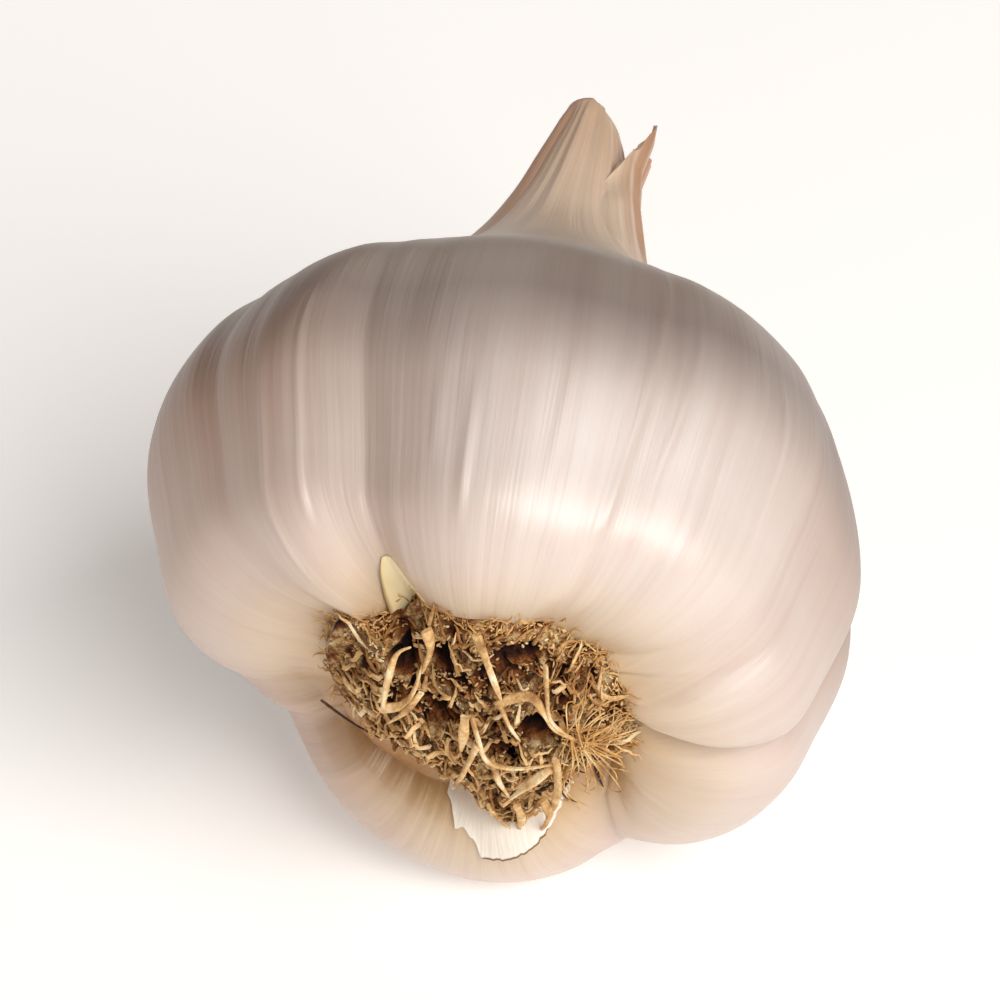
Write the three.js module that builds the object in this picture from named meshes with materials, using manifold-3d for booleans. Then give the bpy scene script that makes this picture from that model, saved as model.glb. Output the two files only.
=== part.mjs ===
// A head of garlic lying on its side: cloves wrapped in a papery skin that gathers into a cut neck,
// with the root plate and its dried roots at the other end. Millimetres, +Z up. The part stands on
// z = 0, and its origin is under the middle of its outline.
//
// The head is drawn in its growing frame first: +Z runs from the root plate up the neck, the root
// plate's face is near z = 0, and azimuth 0 is -Y, growing towards +X. The whole is then laid down.

import * as THREE from "three";
import { mergeVertices } from "three/addons/utils/BufferGeometryUtils.js";
import Module from "manifold-3d";

const wasm = await Module();
wasm.setup();

const { degToRad, smoothstep, lerp } = THREE.MathUtils;

// Driving dimensions.
const AXIS_RISE = 12; // degrees that the growing axis rises above the table
const REST_HEIGHT = 24.1; // height of the root plate's centre above the table
const GAP = 0.3; // clearance between one piece and the next

const CLOVE_COLUMNS = 12; // facets across each clove
const ROWS = 50; // facets from the root plate to the rim of the neck

const SEAT_RADIUS = 9.2; // hollow under the cloves that holds the root plate
const SEAT_HEIGHT = 2.2;
const PLATE_RADIUS = 8.7;
const NECK_TOP = 69.7; // height of the rim of the neck on its tall side
const NECK_LEAN = 1.4; // the neck leans sideways by this at its rim
const RIM_SLANT = 0.8; // the rim is cut lower by this on one side, and higher on the other
const BORE_RADIUS = 3.4; // hollow of the neck, at its floor and at its rim
const BORE_RIM_RADIUS = 1.5;
const BORE_FLOOR = 58;
const PAPER = 0.5; // thickness of a layer of dried skin

const ROOT_COUNT = 36;
const ROOT_RADIUS = 0.5;

// Back of a clove, from the seat of the root plate to the rim of the neck: radius and height.
const cloveBack = new THREE.SplineCurve([
  new THREE.Vector2(9.6, 1.4),
  new THREE.Vector2(11.2, -0.6),
  new THREE.Vector2(15.0, -2.4),
  new THREE.Vector2(20.4, -2.4),
  new THREE.Vector2(25.7, 0.8),
  new THREE.Vector2(28.2, 7.2),
  new THREE.Vector2(30.1, 14.6),
  new THREE.Vector2(29.4, 21.4),
  new THREE.Vector2(26.8, 28.5),
  new THREE.Vector2(22.0, 33.6),
  new THREE.Vector2(16.4, 38.9),
  new THREE.Vector2(11.4, 44.2),
  new THREE.Vector2(8.0, 49.5),
  new THREE.Vector2(5.8, 55.2),
  new THREE.Vector2(4.2, 61.8),
  new THREE.Vector2(2.1, NECK_TOP),
]);

// The cloves in turn. Each starts at a crease: its azimuth at the root plate, how far it winds round
// on its way up, its depth, how sharp it is, where it fades out and over how many degrees the two
// cloves ease into each other. The clove behind the crease has its peak at a share of its width, a
// reach that scales its radius, and a lift along the axis.
const cloves = [
  { from: -121, wind: 0, depth: 5.9, sharp: 0.5, fade: 0.62, ease: 14, peak: 0.65, reach: 1.05, lift: 4.9 },
  { from: -52, wind: 0, depth: 0.8, sharp: 0.4, fade: 0.74, ease: 10, peak: 0.45, reach: 1.015, lift: 2.8 },
  { from: -23, wind: 0, depth: 3.0, sharp: 0.6, fade: 0.62, ease: 8, peak: 0.5, reach: 0.99, lift: 0.5 },
  { from: 8, wind: 20, depth: 0.8, sharp: 0.2, fade: 0.66, ease: 8, peak: 0.48, reach: 1.0, lift: 2.0 },
  { from: 28, wind: 40, depth: 0.7, sharp: 0.3, fade: 0.6, ease: 8, peak: 0.58, reach: 1.005, lift: -0.5 },
  { from: 48, wind: 50, depth: 2.4, sharp: 1, fade: 0.7, ease: 3, peak: 0.31, reach: 1.03, lift: 0.4 },
  { from: 110, wind: 42, depth: 3.9, sharp: 0.9, fade: 0.5, ease: 6, peak: 0.34, reach: 0.935, lift: -0.8 },
];
const WIND_SHARE = 0.15; // share of the outline over which a crease does most of its winding

function cloveAt(index) {
  return cloves[(index + cloves.length) % cloves.length];
}

function creaseAzimuth(index, share) {
  const clove = cloveAt(index);
  const turns = Math.floor(index / cloves.length);
  return 360 * turns + clove.from + clove.wind * Math.tanh(share / WIND_SHARE);
}

function around(azimuth, radius, height) {
  const turn = degToRad(azimuth);
  const leaning = NECK_LEAN * smoothstep(height, 46, NECK_TOP);
  return new THREE.Vector3(radius * Math.sin(turn) + leaning, -radius * Math.cos(turn), height);
}

// The rim of the neck is cut at a slant.
function rimDrop(azimuth, height) {
  return RIM_SLANT * Math.sin(degToRad(azimuth)) * smoothstep(height, 58, NECK_TOP);
}

// A point of the skin in the growing frame: over which clove, how far across it from crease to
// crease, and at what share of the way from the root plate to the rim of the neck.
function skinPoint(index, across, share) {
  const start = creaseAzimuth(index, share);
  const end = creaseAzimuth(index + 1, share);
  const own = cloveAt(index);
  const rising = across < own.peak;
  const neighbour = cloveAt(rising ? index - 1 : index + 1);
  const crease = cloveAt(rising ? index : index + 1);
  const away = (rising ? across : 1 - across) * (end - start);
  const mixed = 0.5 - 0.5 * smoothstep(away, 0, crease.ease);
  const held = smoothstep(share, 0, 0.14) * (1 - smoothstep(share, 0.42, 0.66));
  const reach = lerp(1, lerp(own.reach, neighbour.reach, mixed), held);
  const lift = lerp(own.lift, neighbour.lift, mixed) * held;

  const offPeak = rising ? 1 - across / own.peak : (across - own.peak) / (1 - own.peak);
  const dip = lerp((1 - Math.cos(Math.PI * offPeak)) / 2, offPeak ** 2.6, crease.sharp);
  const fading = smoothstep(share, 0, 0.07) * (1 - smoothstep(share, crease.fade - 0.34, crease.fade));
  const sunk = dip * crease.depth * fading;

  const place = cloveBack.getPoint(share);
  const along = cloveBack.getTangent(share);
  const azimuth = lerp(start, end, across);
  const radius = place.x * reach - sunk * along.y;
  const height = place.y + lift + sunk * along.x;
  return around(azimuth, radius, height - rimDrop(azimuth, height));
}

// The same point for an azimuth instead of a clove.
function skinAt(azimuth, share) {
  let index = 0;
  let turn = azimuth;
  while (turn < creaseAzimuth(0, share)) turn += 360;
  while (creaseAzimuth(index + 1, share) <= turn) index++;
  const start = creaseAzimuth(index, share);
  return skinPoint(index, (turn - start) / (creaseAzimuth(index + 1, share) - start), share);
}

function bare(geometry) {
  geometry.deleteAttribute("normal");
  geometry.deleteAttribute("uv");
  return mergeVertices(geometry, 1e-4);
}

// A thin closed sheet: placeAt gives its point from the shares across, up and through it.
function sheet(columns, rows, placeAt) {
  const box = new THREE.BoxGeometry(1, 1, 1, columns, rows, 1);
  const places = box.attributes.position;
  for (let i = 0; i < places.count; i++) {
    const point = placeAt(places.getX(i) + 0.5, places.getY(i) + 0.5, places.getZ(i) + 0.5);
    places.setXYZ(i, point.x, point.y, point.z);
  }
  return bare(box);
}

// The cloves under their unbroken outer skin, with the hollow neck.
function bulbGeometry() {
  const bore = [new THREE.Vector2(BORE_RIM_RADIUS, NECK_TOP), new THREE.Vector2(BORE_RADIUS, BORE_FLOOR)];
  const profile = [
    new THREE.Vector2(0, SEAT_HEIGHT),
    new THREE.Vector2(SEAT_RADIUS, SEAT_HEIGHT),
    ...cloveBack.getPoints(ROWS),
    ...bore,
    new THREE.Vector2(0, BORE_FLOOR),
  ];
  const columns = cloves.length * CLOVE_COLUMNS;
  const lathe = new THREE.LatheGeometry(profile, columns);
  const places = lathe.attributes.position;
  for (let column = 0; column <= columns; column++) {
    const index = Math.floor(column / CLOVE_COLUMNS) % cloves.length;
    const across = (column % CLOVE_COLUMNS) / CLOVE_COLUMNS;
    for (let row = 0; row < profile.length; row++) {
      const share = THREE.MathUtils.clamp((row - 2) / ROWS, 0, 1);
      const onSkin = row >= 2 && row - 2 <= ROWS;
      const azimuth = lerp(creaseAzimuth(index, share), creaseAzimuth(index + 1, share), across);
      const { x: radius, y: height } = profile[row];
      const point = onSkin ? skinPoint(index, across, share)
        : around(azimuth, radius, height - rimDrop(azimuth, height));
      places.setXYZ(column * profile.length + row, point.x, point.y, point.z);
    }
  }
  return bare(lathe);
}

// An outer leaf that still stands on one side of the neck, torn off to a point.
const LEAF = { from: 28, to: 176, foot: 48.5, columns: 22, rows: 9 };
const leafWall = new THREE.SplineCurve([
  new THREE.Vector2(9.0, 48.5),
  new THREE.Vector2(7.9, 52),
  new THREE.Vector2(6.4, 57),
  new THREE.Vector2(5.4, 62),
  new THREE.Vector2(5.4, 68),
]);

function leafTop(across) {
  const spike = Math.max(0, 1 - Math.abs(across - 0.28) / 0.07);
  return 61.6 + 2.4 * smoothstep(across, 0, 0.22) + 2.4 * spike - 3 * smoothstep(across, 0.5, 1);
}

function leafGeometry() {
  return sheet(LEAF.columns, LEAF.rows, (across, up, through) => {
    const height = lerp(LEAF.foot, leafTop(across), up);
    const radius = leafWall.getPoint((height - LEAF.foot) / (68 - LEAF.foot)).x;
    return around(lerp(LEAF.from, LEAF.to, across), radius + PAPER * through, height);
  });
}

// The rolled leaves inside the neck.
function innerSheathGeometry() {
  const foot = BORE_FLOOR + GAP;
  const footRadius = BORE_RADIUS - 1.5 * GAP;
  const rimRadius = BORE_RIM_RADIUS - 1.5 * GAP;
  const profile = [
    new THREE.Vector2(footRadius, foot),
    new THREE.Vector2(rimRadius, NECK_TOP - RIM_SLANT),
    new THREE.Vector2(rimRadius, NECK_TOP - 0.2),
    new THREE.Vector2(rimRadius - PAPER, NECK_TOP),
    new THREE.Vector2(rimRadius - PAPER, NECK_TOP - RIM_SLANT),
    new THREE.Vector2(footRadius - PAPER, foot),
    new THREE.Vector2(footRadius, foot),
  ];
  const lathe = new THREE.LatheGeometry(profile, 20);
  lathe.rotateX(Math.PI / 2);
  const places = lathe.attributes.position;
  for (let i = 0; i < places.count; i++) {
    places.setX(i, places.getX(i) + around(0, 0, places.getZ(i)).x);
  }
  return bare(lathe);
}

// The woody plate that the cloves and the roots grow from.
function rootPlateGeometry() {
  const profile = [
    new THREE.Vector2(0, -1.5),
    new THREE.Vector2(4.6, -1.3),
    new THREE.Vector2(7.6, -0.6),
    new THREE.Vector2(PLATE_RADIUS, 0.5),
    new THREE.Vector2(PLATE_RADIUS, SEAT_HEIGHT - GAP),
    new THREE.Vector2(0, SEAT_HEIGHT - GAP),
  ];
  const lathe = new THREE.LatheGeometry(profile, 36);
  lathe.rotateX(Math.PI / 2);
  return bare(lathe);
}

// One dried root: it leaves the plate, spreads outwards and curls over sideways.
function rootGeometry(index) {
  const golden = 137.508;
  const share = (index + 0.5) / ROOT_COUNT;
  const foot = 8.0 * Math.sqrt(share);
  const azimuth = index * golden;
  const plateFace = -1.5 + 1.1 * (foot / 8.0) ** 2;
  const reach = 1.5 + 4.2 * share;
  const sway = 7 + 5 * Math.sin(index * 2.1);
  const drop = 4.4 + 0.4 * Math.sin(index * 3.7);
  const path = new THREE.CatmullRomCurve3([
    around(azimuth, foot, plateFace - GAP),
    around(azimuth + sway * 0.3, foot + 0.2 * reach, plateFace - 0.5 * drop),
    around(azimuth + sway, foot + 0.6 * reach, plateFace - 0.9 * drop),
    around(azimuth + sway * 1.2, foot + reach, plateFace - drop),
  ]);
  const section = new THREE.Shape();
  section.absarc(0, 0, ROOT_RADIUS, 0, 2 * Math.PI);
  return bare(new THREE.ExtrudeGeometry(section, { extrudePath: path, steps: 7, curveSegments: 3 }));
}

// Scraps of torn skin lie on the outside of the head, over a patch given in azimuth and share.
function scrapGeometry(patch) {
  return sheet(patch.columns, patch.rows, (across, up, through) => {
    const width = patch.taper ? lerp(1, patch.taper, up) : 1;
    const azimuth = lerp(patch.from, patch.to, 0.5 + (across - 0.5) * width);
    const share = lerp(patch.low, patch.high, up);
    const skin = skinAt(azimuth, share);
    const along = cloveBack.getTangent(share);
    const out = GAP + patch.rise + PAPER * through;
    return skin.add(around(azimuth, out * along.y, -out * along.x));
  });
}

const head = new THREE.Group();
head.rotation.set(degToRad(AXIS_RISE - 90), 0, 0);
head.position.set(0, 0, REST_HEIGHT);
head.updateMatrixWorld();

function grow(name, geometry, colour, roughness) {
  const mesh = new THREE.Mesh(geometry, new THREE.MeshStandardMaterial({ color: colour, roughness }));
  mesh.name = name;
  head.add(mesh);
  return mesh;
}

function solidOf(geometry) {
  const vertProperties = new Float32Array(geometry.attributes.position.array);
  const triVerts = new Uint32Array(geometry.index.array);
  return new wasm.Manifold(new wasm.Mesh({ numProp: 3, vertProperties, triVerts }));
}

function geometryOf(solid) {
  const mesh = solid.getMesh();
  const geometry = new THREE.BufferGeometry();
  geometry.setAttribute("position", new THREE.BufferAttribute(mesh.vertProperties, 3));
  geometry.setIndex(new THREE.BufferAttribute(mesh.triVerts, 1));
  return geometry;
}

// The skin is pressed flat where the head rests on the table.
function pressedFlat(geometry) {
  const table = new THREE.BoxGeometry(200, 200, 40);
  table.translate(0, 0, -20);
  const laid = solidOf(geometry.applyMatrix4(head.matrixWorld)).subtract(solidOf(bare(table)));
  return geometryOf(laid).applyMatrix4(head.matrixWorld.clone().invert());
}

grow("bulb", pressedFlat(bulbGeometry()), 0xe6d6ca, 0.45);
grow("neck_leaf", leafGeometry(), 0xd9bfa5, 0.6);
grow("neck_inner_sheath", innerSheathGeometry(), 0xc4a384, 0.65);
grow("root_plate", rootPlateGeometry(), 0x5d3f22, 0.85);
for (let i = 0; i < ROOT_COUNT; i++) {
  grow(`root_${String(i + 1).padStart(2, "0")}`, rootGeometry(i), 0xc49b63, 0.8);
}
grow("skin_scrap", scrapGeometry({
  from: 140, to: 180, low: 0.05, high: 0.1, rise: 0.2, columns: 8, rows: 4,
}), 0xf3ebe1, 0.5);
grow("torn_skin", scrapGeometry({
  from: -27, to: -17, low: 0.1, high: 0.17, rise: 0.1, taper: 0.2, columns: 4, rows: 6,
}), 0xf2e2bd, 0.5);

const garlic = new THREE.Group();
garlic.add(head);
const outline = new THREE.Box3().setFromObject(garlic, true).getCenter(new THREE.Vector3());
garlic.position.set(-outline.x, -outline.y, 0);
export default garlic;
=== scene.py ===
# A dried head of garlic lying on its side, root end forward, on a pale table.
import math
import random

import bpy
import numpy as np
from mathutils import Matrix, Vector, noise


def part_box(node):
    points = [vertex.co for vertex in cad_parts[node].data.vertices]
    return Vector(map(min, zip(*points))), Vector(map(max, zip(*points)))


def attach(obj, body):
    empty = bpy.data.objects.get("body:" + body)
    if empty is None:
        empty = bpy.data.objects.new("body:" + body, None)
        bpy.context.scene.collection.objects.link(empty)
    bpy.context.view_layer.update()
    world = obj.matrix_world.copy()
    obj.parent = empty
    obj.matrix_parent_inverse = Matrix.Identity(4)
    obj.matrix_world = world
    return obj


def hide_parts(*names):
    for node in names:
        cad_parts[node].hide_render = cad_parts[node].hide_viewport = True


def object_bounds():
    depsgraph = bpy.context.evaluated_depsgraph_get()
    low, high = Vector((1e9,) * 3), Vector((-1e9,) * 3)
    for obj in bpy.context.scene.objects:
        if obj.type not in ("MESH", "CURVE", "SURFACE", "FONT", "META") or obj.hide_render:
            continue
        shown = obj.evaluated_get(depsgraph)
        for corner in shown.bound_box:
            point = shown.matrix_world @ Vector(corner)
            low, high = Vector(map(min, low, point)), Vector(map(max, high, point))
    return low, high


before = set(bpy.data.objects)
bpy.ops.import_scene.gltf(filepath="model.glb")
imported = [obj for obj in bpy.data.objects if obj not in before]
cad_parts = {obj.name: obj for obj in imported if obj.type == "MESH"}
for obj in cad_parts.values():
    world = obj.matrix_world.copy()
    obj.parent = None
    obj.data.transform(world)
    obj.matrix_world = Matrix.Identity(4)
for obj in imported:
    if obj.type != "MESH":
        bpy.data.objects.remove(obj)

cad_box = [list(corner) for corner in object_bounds()]
bpy.ops.object.select_all(action="DESELECT")

# ---------------------------------------------------------------------------------------------
# Camera: a long lens a little to the right of the root end, looking down on the head.
# ---------------------------------------------------------------------------------------------
CAMERA_AZIMUTH = math.radians(7.5)
CAMERA_ELEVATION = math.radians(39)
CAMERA_DISTANCE = 0.4105
AIM_FROM_ROOT = Vector((-0.002514, 0.03092, -0.002376))
MM = 0.001
AXIS_RISE = math.radians(12)
PLATE_RADIUS = 8.7
PLATE_BACK = 1.9

plate_low, plate_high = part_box("root_plate")
root_centre = Vector((
    (plate_low.x + plate_high.x) / 2,
    plate_high.y - (PLATE_BACK * math.cos(AXIS_RISE) + PLATE_RADIUS * math.sin(AXIS_RISE)) * MM,
    plate_high.z - (PLATE_RADIUS * math.cos(AXIS_RISE) + PLATE_BACK * math.sin(AXIS_RISE)) * MM,
))

back = Vector((
    math.sin(CAMERA_AZIMUTH) * math.cos(CAMERA_ELEVATION),
    -math.cos(CAMERA_AZIMUTH) * math.cos(CAMERA_ELEVATION),
    math.sin(CAMERA_ELEVATION),
))
centre = (Vector(cad_box[0]) + Vector(cad_box[1])) / 2
bpy.ops.object.camera_add(location=root_centre + AIM_FROM_ROOT + back * CAMERA_DISTANCE)
camera = bpy.context.object
camera.name = "camera"
camera.rotation_euler = back.to_track_quat("Z", "Y").to_euler()
camera.data.sensor_width = 36
camera.data.lens = 167
bpy.context.scene.camera = camera

# ---------------------------------------------------------------------------------------------
# Table: a smooth, matt, nearly white board that fills the view and throws light back up. It is the
# floor under the object and not part of it.
# ---------------------------------------------------------------------------------------------
TABLE_SIZE = 4.0


def linear(hex_colour):
    """A colour given as sRGB hex, in linear light, with alpha."""
    channels = [int(hex_colour[i:i + 2], 16) / 255 for i in (1, 3, 5)]
    return [c / 12.92 if c <= 0.04045 else ((c + 0.055) / 1.055) ** 2.4 for c in channels] + [1]


def add_node(material, kind, settings=None, links=None):
    """Adds a node, sets its inputs or properties, and links its inputs to other nodes' outputs."""
    made = material.node_tree.nodes.new(kind)
    for name, value in (settings or {}).items():
        if isinstance(name, int) or name in made.inputs:
            made.inputs[name].default_value = value
        else:
            setattr(made, name, value)
    for name, output in (links or {}).items():
        material.node_tree.links.new(output, made.inputs[name])
    return made


def new_material(name):
    """An empty node material with its output, and that output's node."""
    material = bpy.data.materials.new(name)
    material.use_nodes = True
    material.node_tree.nodes.clear()
    return material, material.node_tree.nodes.new("ShaderNodeOutputMaterial")


bpy.ops.mesh.primitive_plane_add(size=TABLE_SIZE)
table = bpy.context.object
table.name = "table"
# White lacquered board: matt and faintly bright of itself, so that it reads as a clean white ground.
board, board_output = new_material("white_lacquered_board")
surface = add_node(board, "ShaderNodeBsdfPrincipled", {
    "Base Color": linear("#f7f5f2"),
    "Roughness": 0.9,
    "Specular IOR Level": 0.1,
    "Emission Color": linear("#fffefc"),
    "Emission Strength": 0.26,
})
board.node_tree.links.new(surface.outputs["BSDF"], board_output.inputs["Surface"])
table.data.materials.append(board)

# ---------------------------------------------------------------------------------------------
# Light: one broad soft box in front and to the right, a weak one low in front, a warm one on the
# left, one behind, and a pale room.
# ---------------------------------------------------------------------------------------------
LIGHT_FACTS = ("azimuth", "elevation", "distance", "size", "power", "colour")
LIGHTS = {
    "key": (45, 41, 1.1, 0.85, 14.6, "#fffefc"),
    "low": (-8, 7, 0.6, 0.4, 0.32, "#fff6f2"),
    "left": (-75, 12, 0.6, 0.3, 0.25, "#ffc9a4"),
    "rim": (200, 34, 0.8, 0.5, 0.75, "#fff3e8"),
}

for name, facts in LIGHTS.items():
    light = dict(zip(LIGHT_FACTS, facts))
    azimuth, elevation = math.radians(light["azimuth"]), math.radians(light["elevation"])
    towards = Vector((
        math.sin(azimuth) * math.cos(elevation),
        -math.cos(azimuth) * math.cos(elevation),
        math.sin(elevation),
    ))
    bpy.ops.object.light_add(type="AREA", location=centre + towards * light["distance"])
    lamp = bpy.context.object
    lamp.name = name + "_light"
    lamp.rotation_euler = towards.to_track_quat("Z", "Y").to_euler()
    lamp.data.size = light["size"]
    lamp.data.energy = light["power"]
    lamp.data.color = linear(light["colour"])[:3]

room = bpy.data.worlds.new("pale_room")
room.use_nodes = True
room.node_tree.nodes["Background"].inputs["Color"].default_value = linear("#f3eeea")
room.node_tree.nodes["Background"].inputs["Strength"].default_value = 0.12
bpy.context.scene.world = room
bpy.context.scene.view_settings.view_transform = "Standard"

# ---------------------------------------------------------------------------------------------
# Skin: the papery outer leaf, dried tight over the cloves and gathered into the cut neck. It is a
# grid whose columns run from the root plate up the neck, wrapped round the head, one clove after
# another, and then pressed flat where the head rests.
# ---------------------------------------------------------------------------------------------
SEAT_RADIUS = 9.2
SEAT_HEIGHT = 2.2
NECK_TOP = 69.7
NECK_LEAN = 1.4
RIM_SLANT = 0.8
BORE_RADIUS = 3.4
BORE_RIM_RADIUS = 1.5
BORE_FLOOR = 58
CLOVE_COLUMNS = 60
SKIN_ROWS = 214
WIND_SHARE = 0.15
CUT_FLARE = 0.27
CUT_FROM_SHARE = 0.88
CUT_EVERYWHERE = 0.75
CUT_LEFT = 0.8
CUT_RIGHT = 2.2

# The back of a clove from the seat of the root plate to the rim of the neck: radius and height.
CLOVE_BACK = np.array([
    (9.6, 1.4), (11.2, -0.6), (15.0, -2.4), (20.4, -2.4), (25.7, 0.8), (28.2, 7.2), (30.1, 14.6),
    (29.4, 21.4), (26.8, 28.5), (22.0, 33.6), (16.4, 38.9), (11.4, 44.2), (8.0, 49.5), (5.8, 55.2),
    (4.2, 61.8), (2.1, NECK_TOP),
])

# The cloves in turn: the azimuth of the crease that each starts at, how far that crease winds,
# its depth, sharpness, fade and ease, and the clove's own peak, reach and lift.
CLOVE_FACTS = ("from", "wind", "depth", "sharp", "fade", "ease", "peak", "reach", "lift")
CLOVES = [dict(zip(CLOVE_FACTS, facts)) for facts in (
    (-121, 0, 5.9, 0.5, 0.62, 14, 0.65, 1.05, 4.9),
    (-52, 0, 0.8, 0.4, 0.74, 10, 0.45, 1.015, 2.8),
    (-23, 0, 3.0, 0.35, 0.62, 8, 0.5, 0.99, 0.5),
    (8, 20, 0.8, 0.2, 0.66, 8, 0.48, 1.0, 2.0),
    (28, 40, 0.7, 0.3, 0.6, 8, 0.58, 1.005, -0.5),
    (48, 50, 2.4, 1, 0.7, 3, 0.31, 1.03, 0.4),
    (110, 42, 3.9, 0.9, 0.5, 6, 0.34, 0.935, -0.8),
)]

laid_down = Matrix.Translation(root_centre) @ Matrix.Rotation(AXIS_RISE - math.pi / 2, 4, "X")
laid_down = laid_down @ Matrix.Scale(MM, 4)


def smoothstep(values, low, high):
    """A smooth rise from 0 at the low value to 1 at the high one."""
    share = np.clip((values - low) / (high - low), 0, 1)
    return share * share * (3 - 2 * share)


def clove_back(share):
    """Radius and height on the back of a clove, on a smooth curve through its points."""
    step = np.clip(share, 0, 1) * (len(CLOVE_BACK) - 1)
    first = np.minimum(step.astype(int), len(CLOVE_BACK) - 2)
    w = (step - first)[..., None]
    p0 = CLOVE_BACK[np.where(first == 0, 0, first - 1)]
    p1, p2 = CLOVE_BACK[first], CLOVE_BACK[first + 1]
    p3 = CLOVE_BACK[np.minimum(first + 2, len(CLOVE_BACK) - 1)]
    v0, v1 = (p2 - p0) / 2, (p3 - p1) / 2
    return (2 * p1 - 2 * p2 + v0 + v1) * w ** 3 + (3 * p2 - 3 * p1 - 2 * v0 - v1) * w ** 2 + v0 * w + p1


def clove_slope(share):
    """The direction of that curve."""
    ahead = clove_back(np.clip(share + 1e-4, 0, 1)) - clove_back(np.clip(share - 1e-4, 0, 1))
    return ahead / np.linalg.norm(ahead, axis=-1, keepdims=True)


def crease_azimuth(index, share):
    """Azimuth in degrees of a crease at a share of the way up."""
    turns, clove = np.divmod(index, len(CLOVES))
    start = np.array([c["from"] for c in CLOVES])[clove]
    wind = np.array([c["wind"] for c in CLOVES])[clove]
    return 360 * turns + start + wind * np.tanh(share / WIND_SHARE)


def cut_depth(azimuth, share):
    """How far the rim of the neck is cut down, most on the side of the standing leaf."""
    side = np.sin(np.radians(azimuth))
    depth = CUT_LEFT * np.maximum(0, -side) + CUT_RIGHT * np.maximum(0, side) + CUT_EVERYWHERE
    return smoothstep(share, CUT_FROM_SHARE, 1) * depth


def of_clove(index, key):
    """One fact about each clove of an array of them, counted on past the last to the first."""
    return np.array([float(c[key]) for c in CLOVES])[index % len(CLOVES)]


def around(azimuth, radius, height):
    """A place in the growing frame from its azimuth in degrees, its radius and its height."""
    turn = np.radians(azimuth)
    leaning = NECK_LEAN * smoothstep(height, 46, NECK_TOP)
    return np.stack([radius * np.sin(turn) + leaning, -radius * np.cos(turn), height], axis=-1)


def rim_drop(azimuth, height):
    """How far the slanting rim of the neck lies below a level one."""
    return RIM_SLANT * np.sin(np.radians(azimuth)) * smoothstep(height, 58, NECK_TOP)


def skin_place(index, across, share):
    """Azimuth, radius, height and hollowness of the skin over a clove, before its fine relief."""
    start, end = crease_azimuth(index, share), crease_azimuth(index + 1, share)
    peak = of_clove(index, "peak")
    rising = across < peak
    beside = np.where(rising, index - 1, index + 1)
    crease = np.where(rising, index, index + 1)
    away = np.where(rising, across, 1 - across) * (end - start)
    mixed = 0.5 - 0.5 * smoothstep(away, 0, of_clove(crease, "ease"))
    held = smoothstep(share, 0, 0.14) * (1 - smoothstep(share, 0.42, 0.66))
    reach = of_clove(index, "reach") * (1 - mixed) + of_clove(beside, "reach") * mixed
    reach = 1 + (reach - 1) * held
    lift = (of_clove(index, "lift") * (1 - mixed) + of_clove(beside, "lift") * mixed) * held

    off_peak = np.where(rising, 1 - across / peak, (across - peak) / (1 - peak))
    sharp = of_clove(crease, "sharp")
    dip = (1 - np.cos(np.pi * off_peak)) / 2 * (1 - sharp) + off_peak ** 2.6 * sharp
    fade = of_clove(crease, "fade")
    fading = smoothstep(share, 0, 0.07) * (1 - smoothstep(share, fade - 0.34, fade))
    sunk = dip * of_clove(crease, "depth") * fading

    place, along = clove_back(share), clove_slope(share)
    azimuth = start + (end - start) * across
    radius = place[..., 0] * reach - sunk * along[..., 1]
    height = place[..., 1] + lift + sunk * along[..., 0]
    return azimuth, radius, height - rim_drop(azimuth, height), np.clip(sunk / 4, 0, 1)


def grain_noise(azimuth, share, ridges, stretch, seed):
    """Noise with about this many ridges round the head, drawn out along the grain."""
    turn = np.radians(azimuth)
    reach = ridges / (2 * math.pi)
    points = np.stack([np.sin(turn) * reach, np.cos(turn) * reach, share * stretch + seed], axis=-1)
    return np.array([noise.noise(p) for p in points.reshape(-1, 3)]).reshape(share.shape)


def flat_grid(columns, rows):
    """A grid, and where each of its points is, from -0.5 to 0.5 each way."""
    bpy.ops.mesh.primitive_grid_add(x_subdivisions=columns, y_subdivisions=rows, size=1, calc_uvs=True)
    piece = bpy.context.object
    flat = np.empty(len(piece.data.vertices) * 3)
    piece.data.vertices.foreach_get("co", flat)
    return piece, flat.reshape(-1, 3)


def lay_down(places):
    """Places in the growing frame, moved to where the head lies."""
    return places @ np.array(laid_down.to_3x3()).T + np.array(laid_down.translation)


def place_points(piece, places, azimuth, share, hollow):
    """Puts a grid's points in their places, and keeps the run of the grain and the hollows."""
    placed = np.clip(lay_down(places), *cad_box)
    piece.data.vertices.foreach_set("co", placed.ravel())
    turn = np.radians(azimuth)
    grain = piece.data.attributes.new("grain", "FLOAT_VECTOR", "POINT")
    grain.data.foreach_set("vector", np.stack([np.sin(turn), -np.cos(turn), share], axis=-1).ravel())
    hollows = piece.data.attributes.new("hollow", "FLOAT", "POINT")
    hollows.data.foreach_set("value", hollow)
    piece.data.update()


def close_seams(threshold):
    """Joins the points of the chosen piece that meet, with its faces outward."""
    bpy.ops.object.mode_set(mode="EDIT")
    bpy.ops.mesh.select_all(action="SELECT")
    bpy.ops.mesh.remove_doubles(threshold=threshold)
    bpy.ops.mesh.normals_make_consistent(inside=False)
    bpy.ops.object.mode_set(mode="OBJECT")


# Dried folds that stand up from the skin: azimuth and share at the low end and at the high end,
# and height in millimetres.
FOLDS = [(-2.6, 0.26, -2.2, 0.37, 0.45), (-8.3, 0.31, -8.0, 0.39, 0.25), (23.5, 0.25, 27.0, 0.5, 0.28),
         (31.0, 0.32, 33.5, 0.48, 0.2), (12.0, 0.3, 13.0, 0.42, 0.14), (-34.0, 0.24, -33.0, 0.46, 0.18),
         (-41.0, 0.2, -40.0, 0.4, 0.14), (52.0, 0.3, 50.0, 0.45, 0.15), (-70.0, 0.22, -70.0, 0.4, 0.15)]
FOLD_WIDTH = 0.65


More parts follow.
